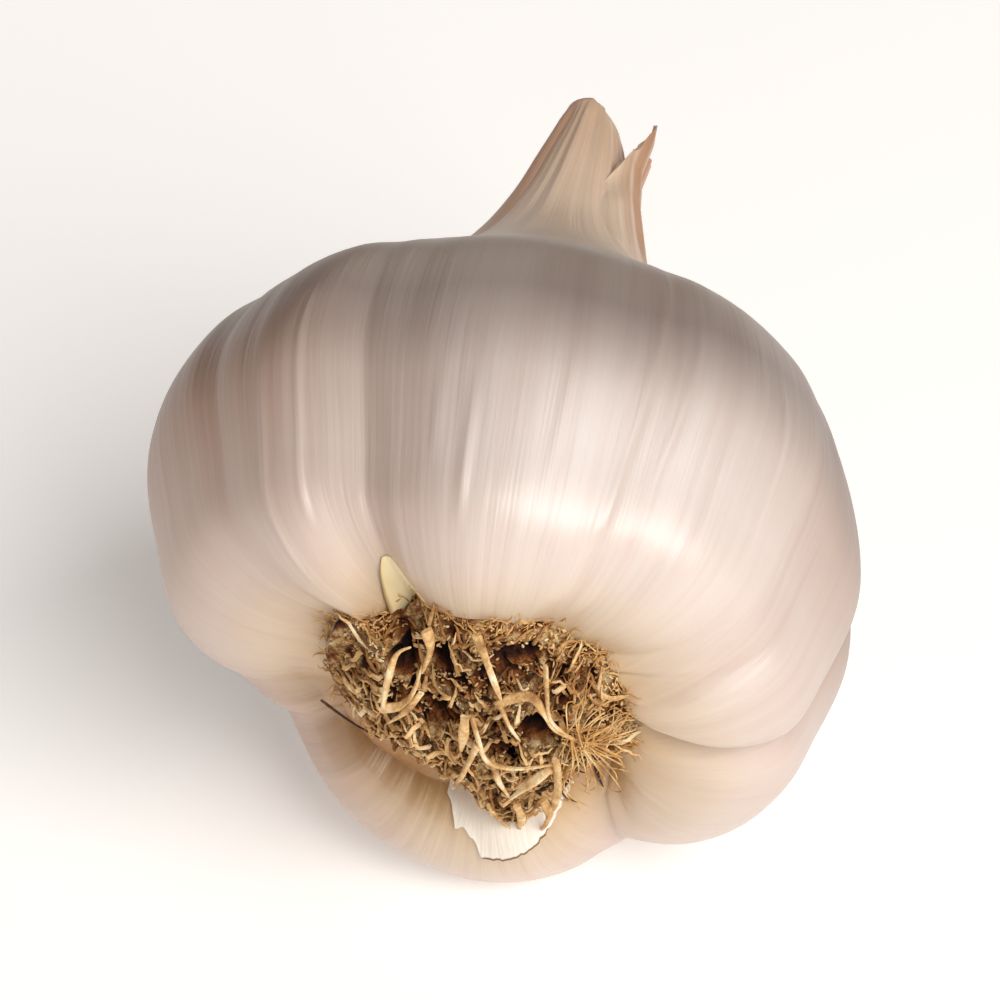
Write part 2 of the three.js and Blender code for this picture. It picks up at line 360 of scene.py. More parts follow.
def wrap_skin():
    """The whole skin, from the seat of the root plate to the floor of the hole in the neck."""
    columns, rows = len(CLOVES) * CLOVE_COLUMNS, SKIN_ROWS + 5
    piece, flat = flat_grid(columns, rows)
    column = np.rint((flat[:, 0] + 0.5) * columns).astype(int) % columns
    row = np.rint((flat[:, 1] + 0.5) * rows).astype(int)
    index, across = column // CLOVE_COLUMNS, (column % CLOVE_COLUMNS) / CLOVE_COLUMNS
    share = np.clip((row - 2) / SKIN_ROWS, 0, 1)
    azimuth, radius, height, hollow = skin_place(index, across, share)

    cut = cut_depth(azimuth, share)
    radius = radius + CUT_FLARE * cut
    height = height - cut

    broad = grain_noise(azimuth, share, 34, 2.2, 3)
    veins = grain_noise(azimuth, share, 150, 3.0, 11)
    pleats = grain_noise(azimuth, share, 70, 2.0, 29)
    near_root = np.exp(-((share - 0.10) / 0.07) ** 2)
    on_neck = smoothstep(share, 0.66, 0.8)
    relief = broad * (0.10 + 0.3 * on_neck) + veins * (0.015 + 0.05 * near_root) + pleats * 0.22 * near_root
    for low_turn, low, high_turn, high, rise in FOLDS:
        away = azimuth - np.interp(share, [low, high], [low_turn, high_turn])
        on_fold = np.exp(-(away / FOLD_WIDTH) ** 2)
        started = smoothstep(share, low - 0.02, low + 0.04)
        relief = relief + rise * on_fold * started * (1 - smoothstep(share, high - 0.06, high + 0.02))
    relief = relief * smoothstep(share, 0, 0.03) * (1 - smoothstep(share, 0.97, 1))
    slope = clove_slope(share)
    radius = radius + relief * slope[..., 1]
    height = height - relief * slope[..., 0]

    places = around(azimuth, radius, height)
    inside = {
        0: (0.0, SEAT_HEIGHT),
        1: (SEAT_RADIUS, SEAT_HEIGHT),
        rows - 2: (BORE_RIM_RADIUS, NECK_TOP),
        rows - 1: (BORE_RADIUS, BORE_FLOOR),
        rows: (0.0, BORE_FLOOR),
    }
    for at, (wall_radius, wall_height) in inside.items():
        here = row == at
        level = wall_height - rim_drop(azimuth[here], np.full(here.sum(), float(wall_height)))
        if at == rows - 2:
            level = level - cut[here]
        places[here] = around(azimuth[here], np.full(here.sum(), wall_radius), level)
    place_points(piece, places, azimuth, share, hollow)
    close_seams(1e-6)
    bpy.ops.object.shade_smooth()
    return piece


skin = wrap_skin()
skin.name = "skin"


def set_stops(ramp_node, stops):
    """Colours of a ramp, each at its place."""
    elements = ramp_node.color_ramp.elements
    for place, _ in stops[1:-1]:
        elements.new(place)
    for element, (place, colour) in zip(elements, stops):
        element.position = place
        element.color = linear(colour)


# Dried garlic skin: a thin satin paper of long fibres, white to pinkish grey, warmer and yellower
# near the roots and tan on the neck. The fibres run up the head and give it a silky gloss.
paper, paper_output = new_material("dried_garlic_skin")
grain = add_node(paper, "ShaderNodeAttribute", {"attribute_name": "grain"})
hollow = add_node(paper, "ShaderNodeAttribute", {"attribute_name": "hollow"})
axes = add_node(paper, "ShaderNodeSeparateXYZ", links={"Vector": grain.outputs["Vector"]})
along = add_node(paper, "ShaderNodeValToRGB", links={"Fac": axes.outputs["Z"]})
# Painted shade: the ramp darkens to grey-brown from about 0.4 to 0.6 of the way up, across the shoulder that
# faces away from the lights, over a slight darkening of the skin itself there.
set_stops(along, [
    (0.0, "#a87430"), (0.05, "#ba8a4c"), (0.1, "#c9a878"), (0.16, "#d4bfa5"), (0.23, "#d8c7bc"),
    (0.32, "#d9ccc5"), (0.38, "#cbbdb5"), (0.43, "#ab9c94"), (0.47, "#91827a"), (0.53, "#9b8b80"),
    (0.58, "#b29f90"), (0.64, "#c2ad99"), (0.7, "#c4ad97"), (0.84, "#dfc5ac"), (1.0, "#d3b293"),
])
# Fibres 0.4 mm apart at the widest part, drawn a little coarser than the real ones so they show.
fibre_place = add_node(paper, "ShaderNodeMapping", {"Scale": (75, 75, 6)},
                       {"Vector": grain.outputs["Vector"]})
fibres = add_node(paper, "ShaderNodeTexNoise", {"Scale": 1.0, "Detail": 3.0, "Roughness": 0.6},
                  {"Vector": fibre_place.outputs["Vector"]})
# Streaks of thicker and thinner skin, 2 to 3 mm apart.
streak_place = add_node(paper, "ShaderNodeMapping", {"Scale": (13, 13, 2)},
                        {"Vector": grain.outputs["Vector"]})
streaks = add_node(paper, "ShaderNodeTexNoise", {"Scale": 1.0, "Detail": 3.0, "Roughness": 0.6},
                   {"Vector": streak_place.outputs["Vector"]})
streak_tone = add_node(paper, "ShaderNodeValToRGB", links={"Fac": streaks.outputs["Fac"]})
set_stops(streak_tone, [(0.25, "#eadfdb"), (0.5, "#f8f4f2"), (0.75, "#ffffff")])
streaked = add_node(paper, "ShaderNodeMix", {"data_type": "RGBA", "blend_type": "MULTIPLY", 0: 0.6},
                    {6: along.outputs["Color"], 7: streak_tone.outputs["Color"]})
# Veins: thin darker lines, about 1.5 mm apart at the widest part.
vein_place = add_node(paper, "ShaderNodeMapping", {"Scale": (20, 20, 0.8)},
                      {"Vector": grain.outputs["Vector"]})
veins = add_node(paper, "ShaderNodeTexNoise", {"Scale": 1.0, "Detail": 1.0},
                 {"Vector": vein_place.outputs["Vector"]})
vein_line = add_node(paper, "ShaderNodeValToRGB", links={"Fac": veins.outputs["Fac"]})
set_stops(vein_line, [(0.48, "#000000"), (0.5, "#505050"), (0.52, "#000000")])
veined = add_node(paper, "ShaderNodeMix", {"data_type": "RGBA", "blend_type": "MIX", 7: linear("#b9988a")},
                  {0: vein_line.outputs["Color"], 6: streaked.outputs[2]})
# Painted shade: the skin is darkened, browner, where it sinks between two cloves, the more so the deeper the
# crease.
crease_shade = add_node(paper, "ShaderNodeMapRange",
                  {"From Min": 0.1, "From Max": 1.0, "To Min": 0.0, "To Max": 0.5},
                  {"Value": hollow.outputs["Fac"]})
shaded = add_node(paper, "ShaderNodeMix",
                  {"data_type": "RGBA", "blend_type": "MULTIPLY", 7: linear("#d8c4b4")},
                  {0: crease_shade.outputs["Result"], 6: veined.outputs[2]})
# Painted shade: the left flank, which faces away from the key light, is darkened to brown, and the right
# flank a little, most of all above the root end.
flank = add_node(paper, "ShaderNodeMapRange", {"From Min": -1.0, "From Max": 1.0},
                 {"Value": axes.outputs["X"]})
flank_shade = add_node(paper, "ShaderNodeValToRGB", links={"Fac": flank.outputs["Result"]})
set_stops(flank_shade, [
    (0.0, "#c99f80"), (0.14, "#d8b9a2"), (0.3, "#ffffff"), (0.86, "#ffffff"), (1.0, "#d6bfb2"),
])
upward = add_node(paper, "ShaderNodeMapRange",
                  {"From Min": 0.22, "From Max": 0.42, "To Min": 0.1, "To Max": 0.95},
                  {"Value": axes.outputs["Z"]})
toned = add_node(paper, "ShaderNodeMix", {"data_type": "RGBA", "blend_type": "MULTIPLY"},
                 {0: upward.outputs["Result"], 6: shaded.outputs[2], 7: flank_shade.outputs["Color"]})
fibre_bump = add_node(paper, "ShaderNodeBump", {"Strength": 0.08, "Distance": 0.0003},
                      {"Height": fibres.outputs["Fac"]})
streak_bump = add_node(paper, "ShaderNodeBump", {"Strength": 0.2, "Distance": 0.0010},
                       {"Height": streaks.outputs["Fac"], "Normal": fibre_bump.outputs["Normal"]})
gloss = add_node(paper, "ShaderNodeMapRange", {"To Min": 0.36, "To Max": 0.5},
                 {"Value": streaks.outputs["Fac"]})
fibre_run = add_node(paper, "ShaderNodeTangent", {"direction_type": "UV_MAP", "uv_map": "UVMap"})
surface = add_node(paper, "ShaderNodeBsdfPrincipled", {
    "IOR": 1.5,
    "Specular IOR Level": 1.0,
    "Coat Weight": 0.25,
    "Coat Roughness": 0.36,
    "Subsurface Weight": 0.15,
    "Subsurface Radius": (1.0, 0.6, 0.4),
    "Subsurface Scale": 0.0015,
    "Anisotropic": 0.35,
    "Anisotropic Rotation": 0.25,
}, {
    "Base Color": toned.outputs[2],
    "Roughness": gloss.outputs["Result"],
    "Normal": streak_bump.outputs["Normal"],
    "Tangent": fibre_run.outputs["Tangent"],
})
paper.node_tree.links.new(surface.outputs["BSDF"], paper_output.inputs["Surface"])
skin.data.materials.append(paper)
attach(skin, "root")
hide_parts("bulb")

# ---------------------------------------------------------------------------------------------
# Neck leaf: the outermost dried leaf, which still stands up one side of the neck. It grows out of
# the skin, is pleated along its length, and is torn off at the top with one tall point.
# ---------------------------------------------------------------------------------------------
LEAF_FROM, LEAF_TO = 28, 176
LEAF_FOOT = 44.0
LEAF_TOP = 61.8
LEAF_SPIKE = 2.6
LEAF_THICKNESS = 0.4
LEAF_WALL = [(9.9, 44.0), (9.35, 46.5), (8.8, 48.5), (7.7, 52), (6.3, 57), (5.7, 61), (6.1, 65)]


def shape_grid(name, columns, rows, place_at):
    """A grid whose points are placed in the growing frame from their shares across and up."""
    piece, flat = flat_grid(columns, rows)
    piece.name = name
    place_points(piece, *place_at(flat[:, 0] + 0.5, flat[:, 1] + 0.5))
    return piece


def thicken(piece, thickness):
    """Gives a sheet its thickness, inwards, with smooth faces."""
    close_seams(1e-7)
    wall = piece.modifiers.new("wall", "SOLIDIFY")
    wall.thickness = thickness * MM
    wall.offset = -1
    bpy.ops.object.modifier_apply(modifier="wall")
    bpy.ops.object.shade_smooth_by_angle(angle=math.radians(50))


def leaf_place(across, up):
    spike = LEAF_SPIKE * np.maximum(0, 1 - np.abs(across - 0.15) / 0.06)
    top = LEAF_TOP + 2.4 * smoothstep(across, 0, 0.13) + spike - 3 * smoothstep(across, 0.5, 1)
    height = LEAF_FOOT + (top - LEAF_FOOT) * up
    first = LEAF_FROM + 30 * smoothstep(height, 53, 64)
    azimuth = first + (LEAF_TO - first) * across
    wall_radius, wall_height = zip(*LEAF_WALL)
    radius = np.interp(height, wall_height, wall_radius)
    share = 0.72 + 0.24 * (height - LEAF_FOOT) / 20
    pleats = np.cos(azimuth * 0.32) * 0.22 + grain_noise(azimuth, share, 60, 1.2, 41) * 0.35
    radius = radius + pleats * smoothstep(height, 46, 53)
    skin_radius = np.interp(height, CLOVE_BACK[-5:, 1], CLOVE_BACK[-5:, 0])
    tucked = (1 - smoothstep(np.minimum(across, 1 - across), 0, 0.16)) * (1 - smoothstep(height, 55, 61))
    radius = radius + (skin_radius - 0.25 - radius) * tucked
    return around(azimuth, radius, height), azimuth, share, np.zeros_like(share)


leaf = shape_grid("neck_leaf_paper", 120, 60, leaf_place)
thicken(leaf, LEAF_THICKNESS)
leaf.data.materials.append(paper)
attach(leaf, "root")
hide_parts("neck_leaf")

# ---------------------------------------------------------------------------------------------
# Inner sheath: the rolled inner leaves of the same dried skin. They grew up through the neck, were
# cut with it, and show as a ring inside it.
# ---------------------------------------------------------------------------------------------
SHEATH_FOOT = 58.3
SHEATH_FOOT_RADIUS = 2.9
SHEATH_RIM_RADIUS = 1.05
SHEATH_THICKNESS = 0.45


def sheath_place(across, up):
    azimuth = across * 360
    top = NECK_TOP - 0.2 + 0.15 * np.sin(np.radians(azimuth * 3))
    height = SHEATH_FOOT + (top - SHEATH_FOOT) * up
    risen = np.clip((height - SHEATH_FOOT) / (NECK_TOP - RIM_SLANT - SHEATH_FOOT), 0, 1)
    radius = SHEATH_FOOT_RADIUS + (SHEATH_RIM_RADIUS - SHEATH_FOOT_RADIUS) * risen
    radius = radius + 0.06 * np.sin(np.radians(azimuth * 7)) * up
    # Painted shade: a hollowness of one half all over makes the skin material darken the whole sheath, as
    # down inside the neck.
    return around(azimuth, radius, height), azimuth, 0.8 + 0.2 * up, np.full_like(up, 0.5)


sheath = shape_grid("inner_sheath_paper", 60, 20, sheath_place)
thicken(sheath, SHEATH_THICKNESS)
sheath.data.materials.append(paper)
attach(sheath, "root")
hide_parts("neck_inner_sheath")

# ---------------------------------------------------------------------------------------------
# Root mat: the woody root plate under a lumpy felt of broken roots, soil and old skin, with its
# hollows between the lumps painted dark with shade.
# ---------------------------------------------------------------------------------------------
# The reach of the tuft from its middle, by azimuth, and the place and width of each hollow, painted dark with
# shade.
TUFT_RADIUS = [
    (-180, 11.0), (-157, 8.9), (-124, 8.9), (-90, 12.0), (-52, 15.0), (-38, 14.0), (-28, 13.0), (-15, 14.8),
    (0, 15.2), (28, 14.3), (60, 14.0), (90, 12.8), (130, 10.4), (160, 12.2), (172, 12.0), (180, 11.0),
]
TUFT_TOP = -4.4
MAT_THICKNESS = 0.5
HOLLOW_DEPTH = 2.4
HOLLOWS = [
    (-6.2, -8.7, 1.3), (-2.6, -10.1, 1.5), (-4.9, -5.9, 1.1), (-2.6, -5.0, 1.2), (1.0, -9.7, 1.0),
    (2.7, -11.6, 1.0), (4.2, -11.1, 1.0), (5.2, -3.4, 1.5), (2.3, -1.0, 1.2), (-5.2, 1.2, 0.8),
]
# The lumps of the mat: ridges to the millimetre, depth, and a seed for each size.
LUMPS = [(0.35, 1.0, 1.7), (0.9, 1.5, 7.7), (2.3, 1.0, 13.1)]


def tuft_reach(azimuth):
    """How far the tuft reaches at an azimuth."""
    places, radii = zip(*TUFT_RADIUS)
    return np.interp((azimuth + 180) % 360 - 180, places, radii)


def skin_height(azimuth, radius):
    """Height of the skin at a radius between the root plate and the underside of the head."""
    shares = np.linspace(0, 0.2, 21)
    turn = (azimuth - CLOVES[0]["from"]) % 360 + CLOVES[0]["from"]
    heights = []
    for share in shares:
        starts = crease_azimuth(np.arange(len(CLOVES) + 1), share)
        index = np.clip(np.searchsorted(starts, turn, side="right") - 1, 0, len(CLOVES) - 1)
        across = np.clip((turn - starts[index]) / (starts[index + 1] - starts[index]), 0, 1)
        _, r, h, _ = skin_place(index, across, np.full_like(turn, share))
        heights.append((r, h))
    radii = np.array([r for r, _ in heights])
    levels = np.array([h for _, h in heights])
    return np.array([np.interp(radius[i], radii[:, i], levels[:, i]) for i in range(len(radius))])


def tuft_height(azimuth, radius):
    """Height of the smooth crown of the tuft, which comes down to the skin at its rim."""
    outwards = np.clip(radius / tuft_reach(azimuth), 0, 1)
    rim = skin_height(azimuth, tuft_reach(azimuth))
    return TUFT_TOP + (rim - TUFT_TOP) * outwards ** 2.6


def mat_relief(x, y, outwards):
    """How far the mat sinks below its crown, and its height above that as it meets the skin."""
    sunk = np.zeros_like(x)
    for ridges, depth, seed in LUMPS:
        lumps = [noise.noise(Vector((a * ridges, b * ridges, seed))) for a, b in zip(x, y)]
        sunk += depth * (0.5 + np.array(lumps))
    for hollow_x, hollow_y, width in HOLLOWS:
        sunk = sunk + HOLLOW_DEPTH * np.exp(-((x - hollow_x) ** 2 + (y - hollow_y) ** 2) / (0.8 * width) ** 2)
    return sunk, sunk * (1 - outwards ** 6) + 1.2 * outwards ** 6 - 1.2


def mat_place(across, up):
    azimuth = across * 360
    radius = tuft_reach(azimuth) * up
    x, y = radius * np.sin(np.radians(azimuth)), -radius * np.cos(np.radians(azimuth))
    sunk, below = mat_relief(x, y, up)
    height = np.minimum(tuft_height(azimuth, radius) + below, 0.8)
    return np.stack([x, y, height], axis=-1), azimuth, up, np.clip((sunk - 1.3) / 3.0, 0, 1)


mat = shape_grid("root_mat", 230, 90, mat_place)
thicken(mat, MAT_THICKNESS)

# Root felt: a dull crust of broken roots and soil, tan on its lumps; where it sinks it turns soil brown and
# then nearly black, soil with painted shade over it in the hollows.
felt, felt_output = new_material("dried_root_felt")
place = add_node(felt, "ShaderNodeTexCoord")
depth = add_node(felt, "ShaderNodeAttribute", {"attribute_name": "hollow"})
lumps = add_node(felt, "ShaderNodeTexNoise", {"Scale": 1500.0, "Detail": 5.0, "Roughness": 0.75},
                 {"Vector": place.outputs["Object"]})
tone = add_node(felt, "ShaderNodeValToRGB", links={"Fac": lumps.outputs["Fac"]})
set_stops(tone, [(0.34, "#643b1a"), (0.45, "#a8763d"), (0.53, "#dab57d"), (0.66, "#f6e5c0")])
# Painted shade: the deeper the mat sinks, the darker, from soil brown down to nearly black.
soil = add_node(felt, "ShaderNodeValToRGB", links={"Fac": depth.outputs["Fac"]})
set_stops(soil, [(0.0, "#ffffff"), (0.2, "#c08f62"), (0.38, "#653a1d"), (0.6, "#200e06")])
hollow_shade = add_node(felt, "ShaderNodeMix", {"data_type": "RGBA", "blend_type": "MULTIPLY", 0: 1.0},
                {6: tone.outputs["Color"], 7: soil.outputs["Color"]})
rough = add_node(felt, "ShaderNodeBump", {"Strength": 1.0, "Distance": 0.0010},
                 {"Height": lumps.outputs["Fac"]})
surface = add_node(felt, "ShaderNodeBsdfPrincipled", {"Roughness": 0.85, "Specular IOR Level": 0.3},
                   {"Base Color": hollow_shade.outputs[2], "Normal": rough.outputs["Normal"]})
felt.node_tree.links.new(surface.outputs["BSDF"], felt_output.inputs["Surface"])
mat.data.materials.append(felt)
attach(mat, "root")
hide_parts("root_plate")

# ---------------------------------------------------------------------------------------------
# Roots: hundreds of dried, flattened, curly roots over the mat, straw to brown, with a few long
# pale ones over the middle, a star of golden ones on one side and fine hairs round the rim.
# ---------------------------------------------------------------------------------------------
# The long pale roots over the middle, each by points along it in the growing frame.
LONG_ROOTS = [
    [(0.1, -6.8, -5.4), (0.6, -4.4, -5.8), (1.1, -1.8, -5.9), (2.4, -0.7, -5.8), (4.2, -0.7, -5.8),
     (6.6, -0.8, -5.2)],
    [(0.5, -3.5, -5.8), (-0.7, 0.5, -5.8), (-1.9, 4.2, -5.0)],
    [(0.6, -16.0, -4.2), (1.2, -14.2, -5.2), (1.9, -11.8, -5.6), (2.6, -9.4, -5.6)],
    [(2.2, -8.8, -5.7), (3.7, -9.8, -5.8), (5.1, -10.0, -5.6), (6.1, -8.4, -5.6), (6.9, -6.2, -5.5),
     (8.4, -4.6, -5.2)],
    [(6.2, -13.4, -4.8), (6.3, -10.5, -5.3), (6.6, -7.5, -5.6), (7.7, -5.5, -5.4)],
    [(-3.9, -9.4, -5.4), (-5.4, -6.7, -5.6), (-7.0, -4.2, -5.0)],
    [(-7.2, -6.6, -5.0), (-6.7, -10.0, -5.2), (-5.9, -13.2, -5.0), (-4.7, -14.2, -4.9)],
    [(-7.2, -6.4, -5.1), (-5.7, -7.4, -5.4), (-4.5, -9.6, -5.6), (-3.8, -12.5, -5.3)],
    [(-0.4, -6.9, -5.6), (-0.6, -4.3, -5.8), (-0.9, -1.9, -5.5)],
    [(1.7, -1.2, -5.7), (2.1, 1.9, -5.4), (2.9, 5.4, -4.6)],
    [(6.4, -0.3, -5.3), (4.6, 1.9, -5.5), (2.9, 4.9, -5.0)],
    [(6.9, -1.2, -5.2), (6.9, 3.3, -4.8), (6.2, 8.2, -3.6)],
    [(-3.4, -16.0, -4.2), (-3.1, -14.2, -5.2), (-3.8, -11.6, -5.5)],
    [(2.5, -9.0, -5.5), (3.2, -6.2, -5.6), (4.0, -3.6, -5.2)],
    [(1.0, 6.8, -4.6), (1.6, 9.6, -3.7), (2.6, 12.4, -2.9)],
    [(3.4, 6.4, -4.6), (3.6, 9.2, -3.8), (3.1, 12.8, -2.8)],
    [(5.6, 5.4, -4.4), (6.0, 8.4, -3.8), (5.2, 12.0, -2.9)],
]
# The star of golden roots: where it starts from, and where each one ends.
STAR_HEART = (8.5, -4.0, -4.9)
STAR_ENDS = [(10.7, 5.2, -2.9), (9.4, 9.4, -2.8), (12.6, 1.6, -2.8), (13.2, -1.4, -2.7), (8.2, 8.2, -3.2),
             (13.0, -4.6, -2.9), (11.4, -9.0, -3.4), (9.6, -11.4, -3.6), (12.2, 3.6, -2.7), (7.2, 4.6, -4.0),
             (13.6, -2.8, -2.7), (12.4, -7.0, -3.0)]
random.seed(41)


def smooth_path(points, steps):
    """A path on a smooth curve through some points."""
    path = []
    for i in range(len(points) - 1):
        p0, p1 = Vector(points[max(i - 1, 0)]), Vector(points[i])
        p2, p3 = Vector(points[i + 1]), Vector(points[min(i + 2, len(points) - 1)])
        for step in range(steps):
            w = step / steps
            path.append(0.5 * (2 * p1 + (p2 - p0) * w + (2 * p0 - 5 * p1 + 4 * p2 - p3) * w ** 2
                               + (3 * p1 - p0 - 3 * p2 + p3) * w ** 3))
    path.append(Vector(points[-1]))
    return path


def lay_strands(name, paths, width, thickness, resolution=0):
    """Strands of flattened section along paths in the growing frame, as one mesh."""
    bpy.ops.curve.primitive_bezier_curve_add()
    piece = bpy.context.object
    piece.name = name
    curve = piece.data
    curve.splines.clear()
    curve.dimensions = "3D"
    curve.bevel_depth = thickness / 2 * MM
    curve.extrude = max(width - thickness, 0) / 2 * MM
    curve.bevel_resolution = resolution
    curve.use_fill_caps = True
    for path in paths:
        spline = curve.splines.new("POLY")
        spline.points.add(len(path) - 1)
        girth = random.uniform(0.7, 1.25)
        tilt = random.uniform(-0.9, 0.9)
        for i, (point, spot) in enumerate(zip(spline.points, path)):
            share = i / (len(path) - 1)
            inside = np.clip(laid_down @ spot, np.array(cad_box[0]) + width * MM, cad_box[1])
            point.co = (*inside, 1)
            point.radius = girth * (1 - 0.75 * share ** 3) * (1 + 0.15 * math.sin(9 * share + 20 * tilt))
            point.tilt = tilt + 1.2 * share * tilt
    bpy.ops.object.convert(target="MESH")
    bpy.ops.object.shade_smooth_by_angle(angle=math.radians(60))
    return piece


def in_hollow(x, y, share):
    """Whether a place is over a hollow of the mat, nearer its middle than a share of its width."""
    return any(math.hypot(x - near_x, y - near_y) < share * width for near_x, near_y, width in HOLLOWS)


def curled_path(x, y, heading, length, curl, lift):
    """A root lying over the crown of the tuft from a place on it, curling as it goes."""
    points, steps = [], 9
    wave = random.uniform(0, 6.28)
    for step in range(steps):
        share = step / (steps - 1)
        points.append((x, y))
        if in_hollow(x, y, 0.8):
            return None
        heading += curl * (0.6 + 0.8 * math.sin(wave + 5 * share)) / steps
        x += math.cos(heading) * length / steps
        y += math.sin(heading) * length / steps
    xs, ys = np.array(points).T
    azimuth, radius = np.degrees(np.arctan2(xs, -ys)), np.hypot(xs, ys)
    crown = tuft_height(azimuth, radius) + 0.5 * mat_relief(xs, ys, radius / tuft_reach(azimuth))[1]
    arch = lift * np.sin(np.linspace(0.1, 2.9, steps)) + 0.2
    return [Vector((a, b, h - up)) for a, b, h, up in zip(xs, ys, crown, arch)]


def scattered_paths(count, length, curl, lift, inner, outer):
    """Curled roots scattered over the tuft between two shares of its reach, clear of the hollows."""
    paths = []
    for _ in range(count):
        azimuth = random.uniform(-180, 180)
        radius = tuft_reach(azimuth) * (inner + (outer - inner) * math.sqrt(random.random()))
        turn = math.radians(azimuth)
        x, y = radius * math.sin(turn), -radius * math.cos(turn)
        outward = math.atan2(y, x) + random.gauss(0, 1.1)
        paths.append(curled_path(x, y, outward, random.uniform(*length), random.uniform(-curl, curl),
                                 random.uniform(*lift)))
    return [path for path in paths if path]


ROOT_TONES = {"straw": ("#8e6132", "#dab076", "#f6e4bc"), "tan": ("#55321a", "#a26d39", "#d6aa6c"),
              "dark": ("#1f1007", "#4c2b12", "#835a31"), "golden": ("#a06b38", "#d0a05f", "#eed199")}
root_materials = {}
for finish, (low, middle, high) in ROOT_TONES.items():
    # Dried root: a dull, wrinkled, woody fibre, paler in patches and dark where it is soiled.
    material, output = new_material("dried_root_" + finish)
    place = add_node(material, "ShaderNodeTexCoord")
    soil = add_node(material, "ShaderNodeTexNoise", {"Scale": 380.0, "Detail": 4.0, "Roughness": 0.65},
                    {"Vector": place.outputs["Object"]})
    tone = add_node(material, "ShaderNodeValToRGB", links={"Fac": soil.outputs["Fac"]})
    set_stops(tone, [(0.3, low), (0.5, middle), (0.68, high)])
    wrinkles = add_node(material, "ShaderNodeTexNoise", {"Scale": 2600.0, "Detail": 2.0},
                        {"Vector": place.outputs["Object"]})
    bump = add_node(material, "ShaderNodeBump", {"Strength": 0.7, "Distance": 0.0003},
                    {"Height": wrinkles.outputs["Fac"]})
    surface = add_node(material, "ShaderNodeBsdfPrincipled", {"Roughness": 0.7, "Specular IOR Level": 0.35},
                       {"Base Color": tone.outputs["Color"], "Normal": bump.outputs["Normal"]})
    material.node_tree.links.new(surface.outputs["BSDF"], output.inputs["Surface"])
    root_materials[finish] = material

star_paths = []
for end in STAR_ENDS:
    for _ in range(5):
        heart, tip = Vector(STAR_HEART), Vector(end)
        spread = Vector((random.gauss(0, 0.9), random.gauss(0, 0.9), random.uniform(-0.3, 0.2)))
        sideways = Vector((tip.y - heart.y, heart.x - tip.x, 0)) * random.uniform(-0.18, 0.18)
        half_way = heart.lerp(tip, 0.5) + spread * 0.6 + sideways + Vector((0, 0, -0.4))
        tip = heart.lerp(tip, random.uniform(0.45, 1.0)) + spread * 0.6
        star_paths.append(smooth_path([heart + spread * 0.8, half_way, tip], 5))
long_paths = [smooth_path(points, 5) for points in LONG_ROOTS]
tufts = {
    "roots_long": (lay_strands("roots_long", long_paths, 0.75, 0.4, 2), "straw"),
    "roots_star": (lay_strands("roots_star", star_paths, 0.15, 0.12, 1), "golden"),
}

# The scattered roots: how many, the least and greatest length, the curl, the least and greatest
# lift, where they start as shares of the tuft's reach, the width and thickness, and the tone.
SCATTERED = {
    "roots_straw": (300, (1.0, 4.0), 2.8, (0.0, 0.9), (0.0, 0.9), (0.42, 0.18, 1), "straw"),
    "roots_tan": (330, (0.8, 3.0), 3.2, (-0.2, 0.7), (0.0, 0.9), (0.3, 0.18, 1), "tan"),
    "roots_dark": (110, (0.8, 2.8), 3.2, (-0.3, 0.6), (0.0, 0.9), (0.32, 0.18, 1), "dark"),
    "rim_hairs": (520, (0.7, 2.3), 5.0, (-0.4, 0.3), (0.84, 1.03), (0.14, 0.11), "golden"),
}
for name, (count, length, curl, lift, start, section, finish) in SCATTERED.items():
    paths = scattered_paths(count, length, curl, lift, *start)
    tufts[name] = (lay_strands(name, paths, *section), finish)
CRUMB_COUNT = 2800


def scatter_crumbs(name):
    """Crumbs of soil and broken root over the mat, each a squashed, turned grain."""
    bpy.ops.mesh.primitive_ico_sphere_add(subdivisions=1, radius=1)
    piece = bpy.context.object
    piece.name = name
    grain = np.array([vertex.co for vertex in piece.data.vertices])
    faces = np.array([face.vertices for face in piece.data.polygons])
    places, spots = [], []
    while len(spots) < CRUMB_COUNT:
        azimuth = random.uniform(-180, 180)
        radius = tuft_reach(azimuth) * math.sqrt(random.random())
        x, y = radius * math.sin(math.radians(azimuth)), -radius * math.cos(math.radians(azimuth))
        clump = noise.noise(Vector((x * 0.8, y * 0.8, 3.3))) + 0.2 * (radius > 0.8 * tuft_reach(azimuth))
        if clump > -0.05 and not in_hollow(x, y, 1):
            spots.append((x, y))
    xs, ys = np.array(spots).T
    azimuths, radii = np.degrees(np.arctan2(xs, -ys)), np.hypot(xs, ys)
    crown = tuft_height(azimuths, radii) + mat_relief(xs, ys, radii / tuft_reach(azimuths))[1]
    for x, y, height in zip(xs, ys, crown):
        size = [random.uniform(0.1, 0.3), random.uniform(0.06, 0.14), random.uniform(0.05, 0.12)]
        turn = Matrix.Rotation(random.uniform(0, 6.28), 3, "Z")
        turn = turn @ Matrix.Rotation(random.uniform(-1, 1), 3, "X")
        shaped = (grain * size) @ np.array(turn) + (x, y, height + random.uniform(-0.35, 0.05))
        places.append(shaped)
    placed = lay_down(np.concatenate(places))
    steps = np.arange(CRUMB_COUNT)[:, None, None] * len(grain)
    piece.data.clear_geometry()
    piece.data.from_pydata(placed.tolist(), [], (faces[None] + steps).reshape(-1, 3).tolist())
    bpy.ops.object.shade_smooth_by_angle(angle=math.radians(40))
    return piece


tufts["root_crumbs"] = (scatter_crumbs("root_crumbs"), "straw")
for tuft, finish in tufts.values():
    tuft.data.materials.append(root_materials[finish])
    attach(tuft, "root")
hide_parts(*["root_%02d" % number for number in range(1, 37)])

# ---------------------------------------------------------------------------------------------
# Skin scrap: a white shred of an older leaf, thin as paper, caught under the lower edge of the
# tuft, with a brown cut edge.
# ---------------------------------------------------------------------------------------------
PAPER_THICKNESS = 0.12
SCRAP_FROM = 136
SCRAP_SPAN = 60
SCRAP_INNER = 9.4
